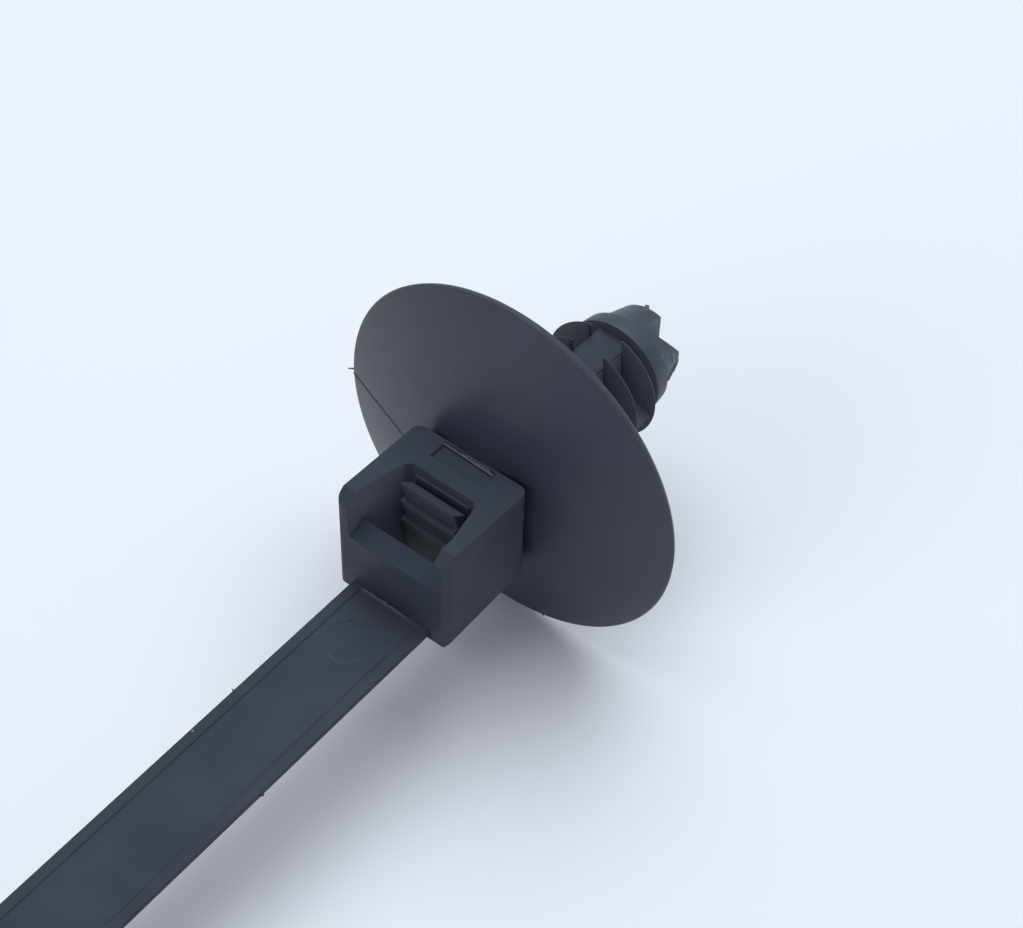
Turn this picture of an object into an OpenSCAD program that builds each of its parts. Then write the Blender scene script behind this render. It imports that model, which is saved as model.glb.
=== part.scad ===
/* [Strap] */
// Width of the strap
strap_w = 4.8; // [3.6:0.1:7.6]
// Thickness of the strap over its edge rails
strap_t = 1.15; // [0.9:0.05:1.6]
// Length of the strap from the head to its tip
strap_len = 140; // [100:1:300]
// Width of the flat underside, narrower than the top
strap_under_w = 3.4; // [2.6:0.1:3.6]
// Height of the upright edge at each side of the strap
strap_edge_h = 0.3; // [0.15:0.05:0.5]
// Width of each raised edge rail
rail_w = 0.55; // [0.4:0.05:0.8]
// Depth of the smooth channel between the rails
channel_depth = 0.16; // [0.1:0.02:0.3]
// Distance from the head to the start of the channel
channel_start = 0.12; // [0.1:0.02:1]
// Length of the strap's root inside the head's low wall
strap_root = 0.7; // [0.6:0.05:0.75]
// Distance from the head to the ejector mark in the channel
ejector_mark_at = 2.75; // [2:0.05:8]
// Sideways offset of the ejector mark from the strap's middle
ejector_mark_off = 0.2; // [0:0.05:0.4]
// Diameter of the ejector mark
ejector_mark_d = 2.45; // [1:0.05:2.8]
// Depth of the ejector mark
ejector_mark_depth = 0.06; // [0.04:0.02:0.1]

/* [Strap teeth] */
// Distance from the head to the first tooth
teeth_start = 28; // [12:1:40]
// Length of the smooth tail after the last tooth
tail_len = 22; // [16:1:30]
// Distance from one tooth to the next
tooth_pitch = 1.25; // [1:0.05:1.6]
// Depth of the valleys below the rails
tooth_depth = 0.55; // [0.4:0.05:0.6]
// Depth of the crests below the rails
tooth_crest_depth = 0.08; // [0.04:0.02:0.2]
// Width of the tail's tip
tail_tip_w = 2.6; // [2.2:0.1:3.2]
// Thickness of the tail's tip
tail_tip_t = 0.75; // [0.6:0.05:0.9]

/* [Head] */
// Length of the head along the stem
head_len = 5.95; // [5.5:0.05:7]
// Height of the head's top above the stem's axis
head_top = 2.5; // [2.2:0.05:3.2]
// Height of the strap's top below the stem's axis
strap_drop = 3.02; // [2.9:0.02:3.6]
// Thickness of the head under the strap
head_sole = 0.09; // [0.05:0.01:0.3]
// Rise of the head's underside from the strap to the disc
sole_rise = 0.5; // [0.2:0.05:0.7]
// Chamfer along the head's lower side edges
sole_chamfer = 0.75; // [0.4:0.05:0.85]
// Chamfer along the head's lower front edge
sole_front_chamfer = 0.6; // [0.3:0.05:0.65]
// Thickness of the head's side walls beside the slot
side_wall = 0.8; // [0.7:0.05:1.3]
// Thickness of the low wall on the strap's side
front_wall = 1; // [0.8:0.05:1.3]
// Thickness of the wall on the disc's side
back_wall = 2.2; // [1.9:0.05:2.6]
// Height of the low wall's inner lip above the stem's axis
front_lip_z = 0.47; // [0.2:0.01:1.2]
// Fall of the low wall's top towards the strap
front_lip_fall = 0.5; // [0.2:0.05:0.8]
// Radius of the upright edges at the head's front
front_corner_r = 0.4; // [0.2:0.05:0.6]
// Radius of the upright edges at the head's back
back_corner_r = 0.5; // [0.2:0.05:0.6]
// Run of the slanted front ends on the side walls' tops
front_top_run = 0.6; // [0.2:0.05:0.8]
// Drop of the slanted front ends on the side walls' tops
front_top_drop = 0.55; // [0.3:0.05:0.9]
// Side clearance of the strap in the slot
slot_clearance = 0.2; // [0.1:0.02:0.3]
// Narrowing of the slot on each side from the low wall to the pawl's back
slot_taper = 0.45; // [0.2:0.05:0.55]
// Corner chamfer at the back of the slot
slot_corner = 0.3; // [0.15:0.05:0.4]
// Half width of the shallow recess on the back wall
recess_half_w = 1.5; // [1:0.1:1.7]
// Length of the shallow recess on the back wall
recess_len = 1; // [0.6:0.05:1.2]
// Depth of the shallow recess on the back wall
recess_depth = 0.14; // [0.08:0.02:0.25]
// Thickness of the lip between the recess and the disc
recess_lip = 0.2; // [0.16:0.02:0.3]

/* [Pawl] */
// Width of the pawl
pawl_w = 3.3; // [2.6:0.1:3.4]
// Thickness of the pawl behind its teeth
pawl_t = 0.5; // [0.4:0.05:0.6]
// Gap behind the pawl that it bends into
pawl_relief = 0.3; // [0.2:0.02:0.4]
// Height of the pawl's teeth
pawl_tooth_h = 0.4; // [0.25:0.05:0.5]
// Distance of the pawl's top tooth below the head's top
pawl_top_gap = 0.15; // [0.1:0.05:0.6]
// Height of the bevel on the back of the pawl's free end
pawl_bevel = 0.7; // [0.4:0.05:0.9]
// Height of the root block that carries the pawl
pawl_root_h = 1.7; // [1.3:0.1:2.1]
// Depth of the ledge on the back wall behind the pawl
ledge_depth = 0.12; // [0.06:0.02:0.16]
// Distance of that ledge below the head's top
ledge_drop = 0.55; // [0.4:0.05:1]

/* [Disc] */
// Diameter of the disc at its rim
disc_d = 20; // [16:0.5:26]
// Height of the disc's cone from its rim to its apex
disc_rise = 3.5; // [2.5:0.1:4.5]
// Thickness of the disc at its middle
disc_mid_t = 0.9; // [0.7:0.05:1.3]
// Thickness of the disc at its rim
disc_rim_t = 0.32; // [0.25:0.01:0.6]
// Overlap of the head with the disc's cone
head_embed = 0.95; // [0.7:0.05:1.1]

/* [Fir tree] */
// Number of fin pairs
fin_pairs = 5; // [3:1:7]
// Distance of the first fin pair from the disc's rim
fin_first = 1.75; // [1.2:0.05:3]
// Distance from one fin pair to the next
fin_pitch = 1.45; // [1.2:0.05:2]
// Radius of the fins
fin_r = 3.38; // [3:0.02:4.2]
// Thickness of a fin at its rim
fin_rim_t = 0.16; // [0.12:0.01:0.4]
// Fall of a fin's rim towards the tip
fin_rim_fall = 0.12; // [0.06:0.02:0.2]
// Thickness of a fin at the stem
fin_root_t = 0.62; // [0.4:0.02:0.8]
// Backward sweep of a fin from stem to rim
fin_sweep = 0.4; // [0:0.05:0.6]
// Width of the stem between the two rows of fins
stem_w = 2; // [1.6:0.1:2.6]
// Height of the stem, top to bottom
stem_h = 4.6; // [3.6:0.1:5.2]
// Radius of the boss under the disc
boss_r = 2.6; // [2.4:0.1:2.9]
// Length of the boss under the disc's middle
boss_len = 1.6; // [1.2:0.1:2]

/* [Nose] */
// Radius of the nose's collar at its back edge
collar_r = 2.85; // [2.5:0.05:3.2]
// Length of the nose's collar
collar_len = 0.95; // [0.6:0.05:1.4]
// Fall of the collar's radius towards the tip
collar_fall = 0.12; // [0.05:0.01:0.2]
// Step from the collar down to the cone
collar_step = 0.24; // [0.1:0.02:0.4]
// Length of the cone at the tip
cone_len = 2.05; // [1.6:0.05:3]
// Radius of the tip's flat end
tip_r = 1.98; // [1.4:0.02:2.1]
// Width of the blade that the lead-in cuts leave
tip_blade_w = 1.3; // [0.8:0.02:1.6]
// Depth of the lead-in cuts at the tip's end
tip_cut_depth = 1.8; // [1.2:0.05:1.9]
// Length of the lead-in cuts
tip_cut_len = 1.6; // [1.2:0.05:2]

/* [Hidden] */

$fn = 96;
plastic = "#26272b";
over = 1;

disc_r = disc_d / 2;
disc_slope = disc_rise / disc_r;

head_back_x = head_embed - disc_rise;
head_front_x = head_back_x - head_len;
slot_half_w = strap_w / 2 + slot_clearance;
head_half_w = slot_half_w + side_wall;
strap_under_z = -strap_drop - strap_t;
head_bottom = strap_under_z - head_sole;
cavity_back_x = head_back_x - back_wall;
cavity_front_x = head_front_x + front_wall;
sole_tilt = atan(sole_rise / head_len);

pawl_back_x = cavity_back_x - pawl_relief;
pawl_face_x = pawl_back_x - pawl_t;
pawl_top_z = head_top - pawl_top_gap;
pawl_root_z = head_bottom + pawl_root_h;
pawl_teeth = floor((pawl_top_z - pawl_root_z) / tooth_pitch);

channel_half_w = strap_w / 2 - rail_w;
teeth_end = strap_len - tail_len;
tooth_count = floor((teeth_end - teeth_start) / tooth_pitch);
droop = asin((disc_r + strap_under_z) / strap_len);

collar_x = fin_first + fin_pairs * fin_pitch - collar_len / 2;
cone_x = collar_x + collar_len;
cone_r = collar_r - collar_fall - collar_step;
tip_x = cone_x + cone_len;

// Turns a profile of points (radius, distance along the stem) round the stem's axis
module around_stem(points) {
    rotate([0, 90, 0])
        rotate_extrude()
            polygon(points);
}

// Draws a side profile of points (x, z) across a width centred on the stem
module across(width, points) {
    translate([0, width / 2, 0])
        rotate([90, 0, 0])
            linear_extrude(width)
                polygon(points);
}

// Draws a section of points (y, z) along the stem from one place to another
module along_stem(from_x, to_x, points) {
    translate([from_x, 0, 0])
        rotate([90, 0, 90])
            linear_extrude(to_x - from_x)
                polygon(points);
}

// Cone that bears on the panel, thin at its rim
module disc() {
    around_stem([
        [0, -disc_rise],
        [disc_r - disc_rim_t / 4, -disc_rim_t / 4 * disc_slope],
        [disc_r, disc_rim_t / 3],
        [disc_r - disc_rim_t / 3, disc_rim_t],
        [0, disc_mid_t - disc_rise]
    ]);
}

// One full fin, swept back towards the disc
module fin(x) {
    around_stem([
        [0, x + fin_sweep],
        [fin_r, x],
        [fin_r - fin_rim_fall, x + fin_rim_t],
        [0, x + fin_sweep + fin_root_t]
    ]);
}

// The two rows of fins, parted by the gaps over and under the stem
module fin_rows() {
    gap_h = fin_r + over - stem_h / 2;
    difference() {
        for (i = [0 : fin_pairs - 1])
            fin(fin_first + i * fin_pitch);
        for (z = [stem_h / 2, -stem_h / 2 - gap_h])
            translate([0, -stem_w / 2, z])
                cube([tip_x, stem_w, gap_h]);
    }
}

// Flat stem that carries the fins, with a boss under the disc
module stem() {
    boss_end = disc_mid_t + boss_len - disc_rise;
    start_x = boss_end - boss_len / 2;
    translate([start_x, -stem_w / 2, -stem_h / 2])
        cube([collar_x + collar_len / 2 - start_x, stem_w, stem_h]);
    around_stem([
        [0, disc_mid_t / 2 - disc_rise],
        [boss_r, boss_r * disc_slope + disc_mid_t / 2 - disc_rise],
        [boss_r, boss_end],
        [0, boss_end]
    ]);
}

// Wedge that turns one quarter of the tip into a lead-in
module lead_in_cut() {
    start_r = tip_r + (cone_r - tip_r) * tip_cut_len / cone_len;
    start_z = sqrt(start_r ^ 2 - tip_blade_w ^ 2 / 4);
    end_z = tip_r - tip_cut_depth;
    top_z = collar_r + over;
    reach = tip_cut_len * (top_z - end_z) / (start_z - end_z);
    translate([0, -tip_blade_w / 2, 0])
        rotate([90, 0, 0])
            linear_extrude(collar_r)
                polygon([
                    [tip_x - reach, top_z],
                    [tip_x, end_z],
                    [tip_x + over, end_z],
                    [tip_x + over, top_z]
                ]);
}

// Collar and cone that enter the panel's hole first
module nose() {
    difference() {
        around_stem([
            [0, collar_x],
            [collar_r, collar_x],
            [collar_r - collar_fall, cone_x],
            [cone_r, cone_x],
            [tip_r, tip_x],
            [0, tip_x]
        ]);
        lead_in_cut();
        rotate([180, 0, 0])
            lead_in_cut();
    }
}

// Height of the head's sloping underside at a place along the stem
function sole_z(x) = head_bottom + sole_rise * (x - head_front_x) / head_len;

// Side profile of the head, with its sloping underside and the slanted front of its top
module head_profile() {
    sole_front_x = head_front_x + sole_front_chamfer;
    sole_back_x = head_back_x + over;
    across(2 * head_half_w + 2 * over, [
        [head_front_x, head_bottom + sole_front_chamfer],
        [sole_front_x, sole_z(sole_front_x)],
        [sole_back_x, sole_z(sole_back_x)],
        [sole_back_x, head_top],
        [head_front_x + front_top_run, head_top],
        [head_front_x, head_top - front_top_drop]
    ]);
}

// Outline of the head seen from above, with round upright edges
module head_plan() {
    plan_z = head_bottom - over;
    plan_h = head_top - head_bottom + 2 * over;
    front_x = head_front_x + front_corner_r;
    front_y = head_half_w - front_corner_r;
    back_x = head_back_x - back_corner_r;
    back_y = head_half_w - back_corner_r;
    translate([0, 0, plan_z])
        linear_extrude(plan_h)
            polygon([
                [head_back_x, -back_y],
                [head_back_x, back_y],
                [back_x, head_half_w],
                [front_x, head_half_w],
                [head_front_x, front_y],
                [head_front_x, -front_y],
                [front_x, -head_half_w],
                [back_x, -head_half_w]
            ]);
    for (side = [-1, 1]) {
        translate([front_x, side * front_y, plan_z])
            cylinder(r = front_corner_r, h = plan_h);
        translate([back_x, side * back_y, plan_z])
            cylinder(r = back_corner_r, h = plan_h);
    }
}

// Chamfer along one lower side edge of the head
module sole_edge_cut(side) {
    inner = side * (head_half_w - sole_chamfer - over);
    outer = side * (head_half_w + over);
    translate([head_front_x, 0, head_bottom])
        rotate([0, -sole_tilt, 0])
            along_stem(-over, head_len + over, [
                [inner, -over],
                [outer, sole_chamfer + over],
                [outer, -over]
            ]);
}

// Solid block of the head, before its slot is cut
module head_block() {
    difference() {
        intersection() {
            head_profile();
            head_plan();
        }
        for (side = [-1, 1])
            sole_edge_cut(side);
    }
}

// Slot that the tail passes through, with the room for the pawl behind it
module slot() {
    back_half_w = slot_half_w - slot_taper;
    taper_x = cavity_front_x + slot_corner;
    translate([0, 0, head_bottom - over])
        linear_extrude(head_top - head_bottom + 2 * over)
            polygon([
                [cavity_front_x, -slot_half_w],
                [taper_x, -slot_half_w],
                [cavity_back_x - slot_corner, -back_half_w],
                [cavity_back_x, slot_corner - back_half_w],
                [cavity_back_x, back_half_w - slot_corner],
                [cavity_back_x - slot_corner, back_half_w],
                [taper_x, slot_half_w],
                [cavity_front_x, slot_half_w]
            ]);
    across(2 * slot_half_w, [
        [head_front_x - over, front_lip_z - front_lip_fall],
        [head_front_x, front_lip_z - front_lip_fall],
        [cavity_front_x, front_lip_z],
        [taper_x, front_lip_z],
        [taper_x, head_top + over],
        [head_front_x - over, head_top + over]
    ]);
}

// Shallow recess on top of the back wall, with a lip towards the disc
module top_recess() {
    translate([head_back_x - recess_lip - recess_len, -recess_half_w, head_top - recess_depth])
        cube([recess_len, 2 * recess_half_w, recess_depth + over]);
}

// Toothed tongue that locks the tail, free at its top and rooted at its bottom
module pawl() {
    wall_x = cavity_back_x + back_wall / 4;
    tooth_x = pawl_face_x - pawl_tooth_h;
    across(pawl_w, concat(
        [
            [wall_x, sole_z(wall_x)],
            [wall_x, pawl_root_z - pawl_relief],
            [cavity_back_x - ledge_depth, pawl_root_z - pawl_relief],
            [pawl_back_x, pawl_root_z],
            [pawl_back_x, pawl_top_z - pawl_bevel],
            [tooth_x, pawl_top_z]
        ],
        [
            for (i = [1 : pawl_teeth])
                let (z = pawl_top_z - i * tooth_pitch)
                each i < pawl_teeth ? [[pawl_face_x, z], [tooth_x, z]] : [[pawl_face_x, z]]
        ],
        [[pawl_face_x, sole_z(pawl_face_x)]]
    ));
}

// Ledge on the back wall behind the pawl
module back_ledge() {
    wall_x = cavity_back_x + back_wall / 4;
    across(pawl_w, [
        [wall_x, pawl_root_z - pawl_relief],
        [wall_x, head_top - ledge_drop],
        [cavity_back_x - ledge_depth, head_top - ledge_drop],
        [cavity_back_x - ledge_depth, pawl_root_z - pawl_relief]
    ]);
}

// Ratchet head with its slot, open at the top and low on the strap's side
module head() {
    difference() {
        head_block();
        slot();
        top_recess();
    }
    pawl();
    back_ledge();
}

// Sawtooth row between the rails, steep towards the head
module teeth_cut() {
    across(2 * channel_half_w, concat(
        [[-teeth_start, over]],
        [
            for (i = [0 : tooth_count - 1])
                let (s = teeth_start + i * tooth_pitch)
                each [[-s, -tooth_crest_depth], [-s - tooth_pitch, -tooth_depth]]
        ],
        [[-teeth_start - tooth_count * tooth_pitch, over]]
    ));
}

// Smooth channel between the rails, with the ejector mark in its floor
module channel_cut() {
    translate([-teeth_start, -channel_half_w, -channel_depth])
        cube([teeth_start - channel_start, 2 * channel_half_w, channel_depth + over]);
    translate([-ejector_mark_at, ejector_mark_off, -channel_depth - ejector_mark_depth])
        cylinder(d = ejector_mark_d, h = over);
}

// Wedge that thins the tail towards its tip
module tail_cut() {
    start_s = teeth_end + tooth_pitch;
    across(2 * strap_w, [
        [-start_s, 0],
        [-start_s, over],
        [-strap_len - over, over],
        [-strap_len - over, tail_tip_t - strap_t],
        [-strap_len, tail_tip_t - strap_t]
    ]);
}

// Outline of the strap seen from above, narrowing at the tail
module strap_outline() {
    taper_s = strap_len - tail_len + 2 * tooth_pitch;
    translate([0, 0, -strap_t - over])
        linear_extrude(strap_t + 2 * over)
            polygon([
                [over, strap_w],
                [-taper_s, strap_w / 2],
                [-strap_len, tail_tip_w / 2],
                [-strap_len, -tail_tip_w / 2],
                [-taper_s, -strap_w / 2],
                [over, -strap_w]
            ]);
}

// Toothed strap, straight and drooping so that its tip lies level with the disc's rim
module strap() {
    translate([head_front_x, 0, strap_under_z])
        rotate([0, -droop, 0])
            translate([0, 0, strap_t])
                difference() {
                    intersection() {
                        along_stem(-strap_len, strap_root, [
                            [-strap_w / 2, 0],
                            [strap_w / 2, 0],
                            [strap_w / 2, -strap_edge_h],
                            [strap_under_w / 2, -strap_t],
                            [-strap_under_w / 2, -strap_t],
                            [-strap_w / 2, -strap_edge_h]
                        ]);
                        strap_outline();
                    }
                    channel_cut();
                    teeth_cut();
                    tail_cut();
                }
}

// The tie, moulded in one piece
module cable_tie() {
    color(plastic) {
        disc();
        stem();
        fin_rows();
        nose();
        head();
        strap();
    }
}

cable_tie();
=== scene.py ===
"""Dresses the fir tree mount cable tie: one black nylon moulding lying on a pale table."""
import math
import random

import bmesh
import bpy
from mathutils import Matrix, Quaternion, Vector


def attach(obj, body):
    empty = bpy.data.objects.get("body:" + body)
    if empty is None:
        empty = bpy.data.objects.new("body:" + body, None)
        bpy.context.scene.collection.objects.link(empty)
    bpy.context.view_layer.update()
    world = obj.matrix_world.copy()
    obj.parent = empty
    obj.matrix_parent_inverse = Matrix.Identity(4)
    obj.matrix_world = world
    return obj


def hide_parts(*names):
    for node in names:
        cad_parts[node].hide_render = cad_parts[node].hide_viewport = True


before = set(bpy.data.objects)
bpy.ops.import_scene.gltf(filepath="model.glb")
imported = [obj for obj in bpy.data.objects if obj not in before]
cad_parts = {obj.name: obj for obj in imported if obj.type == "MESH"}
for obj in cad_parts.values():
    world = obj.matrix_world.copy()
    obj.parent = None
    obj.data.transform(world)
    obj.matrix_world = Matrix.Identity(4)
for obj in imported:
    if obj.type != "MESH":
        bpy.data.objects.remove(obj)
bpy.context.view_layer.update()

# Sizes are in millimetres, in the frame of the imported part: +X along the stem to its tip, +Z up.
MM = 0.001
BODY = "root"
NODE = "cable_tie"

# How far a cutter reaches past what it cuts, and how many sides a round piece has
CUT_MARGIN = 1.0
ROUND_SIDES = 96

DISC_R = 10.0
DISC_RISE = 3.5
DISC_MID_T = 0.9
DISC_RIM_T = 0.32
DISC_SIDES = 288
RIM_ROUND = 0.07
RIM_FRONT_ROUND = 0.05
RIM_WEAR_AND_HIGHLIGHT = 0.05

HEAD_BACK_X = -2.55
HEAD_FRONT_X = -8.5
HEAD_HALF_W = 3.4
HEAD_TOP = 2.5
HEAD_BOTTOM = -4.26
HEAD_LEN = HEAD_BACK_X - HEAD_FRONT_X
SOLE_RISE = 0.5
SOLE_CHAMFER = 0.75
SOLE_FRONT_CHAMFER = 0.6
FRONT_CORNER_R = 0.4
BACK_CORNER_R = 0.5
FRONT_TOP_RUN = 0.6
FRONT_TOP_DROP = 0.55
HEAD_ROUND = 0.12

SLOT_HALF_W = 2.6
SLOT_BACK_HALF_W = 2.15
SLOT_CORNER = 0.3
CAVITY_FRONT_X = -7.5
CAVITY_BACK_X = -4.75
LIP_INNER_Z = 0.47
LIP_FALL = 0.5
RECESS_HALF_W = 1.5
RECESS_DEPTH = 0.14
RECESS_BACK_X = HEAD_BACK_X - 0.2
RECESS_FRONT_X = RECESS_BACK_X - 1.0
RECESS_FLARE = 0.1

PAWL_HALF_W = 1.65
PAWL_BACK_X = -5.05
PAWL_FACE_X = -5.55
PAWL_TOOTH_X = -5.95
PAWL_TOP_Z = 2.35
PAWL_BEVEL = 0.7
PAWL_ROOT_Z = -2.56
PAWL_RELIEF = 0.3
PAWL_TEETH = 3
PAWL_SEAT_X = CAVITY_BACK_X + 0.3
PAWL_ROUND = 0.06
LEDGE_X = -4.87
LEDGE_TOP_Z = 1.95
LEDGE_ROUND = 0.03

STRAP_LEN = 140.0
STRAP_HALF_W = 2.4
STRAP_UNDER_HALF_W = 1.7
STRAP_T = 1.15
STRAP_EDGE_H = 0.3
STRAP_ROOT = 0.7
STRAP_UNDER_Z = -4.17
STRAP_DROOP = math.asin((DISC_R + STRAP_UNDER_Z) / STRAP_LEN)
STRAP_ROUND = 0.05
CHANNEL_HALF_W = 1.85
CHANNEL_START = 0.12
CHANNEL_DEPTH = 0.07
CHANNEL_FLARE = 0.06
GROOVE_Y = -1.76
GROOVE_HALF_W = 0.06
GROOVE_DEPTH = 0.03
GROOVE_START = 2.4
GROOVE_LEN = 16.0
EJECTOR_AT = 2.75
EJECTOR_OFF = 0.2
EJECTOR_R = 1.225
EJECTOR_DEPTH = 0.06
EJECTOR_FLARE = 0.05
EJECTOR_SIDES = 64
EJECTOR_LEAN = math.radians(38)
EJECTOR_TILT = 0.48
TOOTH_PITCH = 1.25
TOOTH_COUNT = 72
TOOTH_DEPTH = 0.55
TOOTH_CREST = 0.08
TOOTH_SEAT = 0.05
TOOTH_ROUND = 0.03
TEETH_START = 28.0
TEETH_END = TEETH_START + TOOTH_COUNT * TOOTH_PITCH
TAIL_START = 120.5
TAIL_TIP_HALF_W = 1.3
TAIL_TIP_T = 0.75

FIN_PAIRS = 5
FIN_FIRST = 1.75
FIN_PITCH = 1.45
FIN_R = 3.38
FIN_RIM_T = 0.16
FIN_RIM_FALL = 0.12
FIN_ROOT_T = 0.62
FIN_SWEEP = 0.4
FIN_LEAST_DEPTH = 0.03
FIN_ROUND = 0.08
FIN_SWAY = math.radians(0.7)

COLLAR_X = 8.525
COLLAR_R = 2.85
CONE_X = 9.475
COLLAR_FRONT_R = 2.73
CONE_R = 2.49
TIP_X = 11.525
TIP_R = 1.98
TIP_ROUND = 0.12
TIP_BLADE_HALF_W = 0.65
TIP_CUT_END_Z = 0.18
TIP_CUT_LEN = 1.6
NOSE_ROUND = 0.13

STEM_HALF_W = 1.0
STEM_HALF_H = 2.3
STEM_ROUND = 0.12
BOSS_R = 2.6
BOSS_END = -1.0
BOSS_ROUND = 0.15
STEM_BACK_X = BOSS_END - 0.8
STEM_FRONT_X = COLLAR_X + 0.4

# Flash and burrs; a seat is how far they reach into the piece that carries them
RIDGE_STEPS = 36
RIDGE_SWELL = 0.3
FLASH_SEAT = 0.03
FLASH_SINK = 0.02
BURR_SEAT = 0.1
BURR_SIDES = 5
BURR_TAPER = 0.55
EJECTOR_FLASH_START = 166
EJECTOR_FLASH_TURN = 90

# Where the halves of the mould met: a line on the disc, a web between fins and a ridge on the nose
MOULD_LINE_Z = -0.3
MOULD_LINE_START_Y = 3.3
MOULD_LINE_END_Y = DISC_R - 0.06
PARTING_ANGLE = math.radians(190)
WEB_DEPTH = 1.2
WEB_FIRST_FIN = 2
WEB_GAPS = 2

# Share of the usual plastic reflection that each kind of face shows
SHEEN = 0.2
MATT_SHEEN = 0.05
SEAM_SHEEN = 0.12
NOSE_SHEEN = 0.3
DISC_SHEEN = 0.5

# Marks on the nylon, and the black that most faces have
SCUFF_SHARE = 0.06
GRAIN_DEPTH = 0.01
CLOUD_RELIEF = 0.35
PALE_DUST = (0.16, 0.17, 0.19)
BLACK_DARK = (0.032, 0.039, 0.052)
BLACK_LIGHT = (0.044, 0.052, 0.067)

TABLE_Z = -DISC_R
TABLE_HALF = 1500.0
TABLE_COLOUR = (0.93, 0.935, 0.94, 1.0)
TABLE_ROUGHNESS = 0.85
TABLE_SHEEN = 0.2
DAYLIGHT = (0.905, 0.96, 1.05)
SURROUND = 0.3

CAMERA_PLACE = (-57.449, -44.734, 78.173)
CAMERA_AIM = (0.062, -0.273, 0.0)
CAMERA_ROLL = math.radians(2.05)
CAMERA_LENS = 77.39
CAMERA_SENSOR = 36.0


# Mesh tools, all in millimetres until a piece is finished

def new_piece(name, bm):
    """Makes an object of a bmesh, with its doubles merged and its faces pointing out."""
    bmesh.ops.remove_doubles(bm, verts=bm.verts, dist=1e-5)
    bmesh.ops.recalc_face_normals(bm, faces=bm.faces)
    mesh = bpy.data.meshes.new(name)
    bm.to_mesh(mesh)
    bm.free()
    piece = bpy.data.objects.new(name, mesh)
    bpy.context.scene.collection.objects.link(piece)
    return piece


def round_corners(outline, radii, steps=5):
    """Replaces each corner of a closed outline by an arc of its radius."""
    rounded = []
    count = len(outline)
    for i, radius in enumerate(radii):
        corner = Vector(outline[i])
        back = (Vector(outline[i - 1]) - corner).normalized()
        ahead = (Vector(outline[(i + 1) % count]) - corner).normalized()
        half = back.angle(ahead) / 2
        if radius <= 0 or half > math.radians(89):
            rounded.append(tuple(corner))
            continue
        centre = corner + (back + ahead).normalized() * (radius / math.sin(half))
        start = corner + back * (radius / math.tan(half)) - centre
        end = corner + ahead * (radius / math.tan(half)) - centre
        turn = start.angle_signed(end)
        for k in range(steps + 1):
            angle = -turn * k / steps
            rounded.append((
                centre.x + start.x * math.cos(angle) - start.y * math.sin(angle),
                centre.y + start.x * math.sin(angle) + start.y * math.cos(angle),
            ))
    return rounded


def prism(name, outline, axis, start, end):
    """Draws an outline along an axis; the outline's pairs are the two other axes in order."""
    place = {
        "x": lambda a, b, along: (along, a, b),
        "y": lambda a, b, along: (a, along, b),
        "z": lambda a, b, along: (a, b, along),
    }[axis]
    bm = bmesh.new()
    near = [bm.verts.new(place(a, b, start)) for a, b in outline]
    far = [bm.verts.new(place(a, b, end)) for a, b in outline]
    bm.faces.new(near)
    bm.faces.new(far[::-1])
    for i in range(len(outline)):
        j = (i + 1) % len(outline)
        bm.faces.new((near[j], near[i], far[i], far[j]))
    return new_piece(name, bm)


def box(name, low, high):
    """Makes a block between two corners."""
    outline = [(low[0], low[1]), (high[0], low[1]), (high[0], high[1]), (low[0], high[1])]
    return prism(name, outline, "z", low[2], high[2])


def revolve(name, profile, steps):
    """Turns a closed profile of (radius, x) round the stem's axis."""
    bm = bmesh.new()
    rings = []
    for radius, x in profile:
        if radius < 1e-6:
            rings.append([bm.verts.new((x, 0, 0))])
            continue
        angles = [2 * math.pi * k / steps for k in range(steps)]
        rings.append([bm.verts.new((x, radius * math.cos(a), radius * math.sin(a))) for a in angles])
    for i, ring in enumerate(rings):
        after = rings[(i + 1) % len(rings)]
        if len(ring) == 1 and len(after) == 1:
            continue
        for k in range(steps):
            m = (k + 1) % steps
            near = [ring[k % len(ring)], ring[m % len(ring)]]
            far = [after[m % len(after)], after[k % len(after)]]
            bm.faces.new(list(dict.fromkeys(near + far)))
    return new_piece(name, bm)


def freeze(piece):
    """Turns a piece's modifiers into plain mesh."""
    graph = bpy.context.evaluated_depsgraph_get()
    graph.update()
    mesh = bpy.data.meshes.new_from_object(piece.evaluated_get(graph))
    piece.modifiers.clear()
    piece.data = mesh
    return piece


def combine(piece, tool, operation):
    """Cuts, joins or trims a piece with a tool, which is then thrown away."""
    step = piece.modifiers.new(operation.lower(), "BOOLEAN")
    step.operation = operation
    step.solver = "EXACT"
    step.object = tool
    freeze(piece)
    bpy.data.objects.remove(tool)
    return piece


def clean_flats(piece):
    """Joins the coplanar faces that cuts leave behind."""
    bm = bmesh.new()
    bm.from_mesh(piece.data)
    bmesh.ops.remove_doubles(bm, verts=bm.verts, dist=1e-4)
    bmesh.ops.dissolve_limit(bm, angle_limit=math.radians(0.6), verts=bm.verts, edges=bm.edges)
    bm.to_mesh(piece.data)
    bm.free()
    return piece


def soften_edges(piece, width, segments=3, angle=32, finish=None, edge=None):
    """Rounds the moulded edges and gives the rounds a finish of their own, by default a paler colour that
    is partly wear and partly painted highlight.
    """
    piece.data.materials.clear()
    piece.data.materials.append(finish or nylon)
    piece.data.materials.append(edge or worn_edge)
    step = piece.modifiers.new("round", "BEVEL")
    step.width = width
    step.segments = segments
    step.limit_method = "ANGLE"
    step.angle_limit = math.radians(angle)
    step.material = 1
    return freeze(piece)


def paint_faces(piece, finish, chosen):
    """Gives the faces that a rule picks a finish of their own."""
    piece.data.materials.append(finish)
    last = len(piece.data.materials) - 1
    for face in piece.data.polygons:
        if chosen(face):
            face.material_index = last
    return piece


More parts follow.
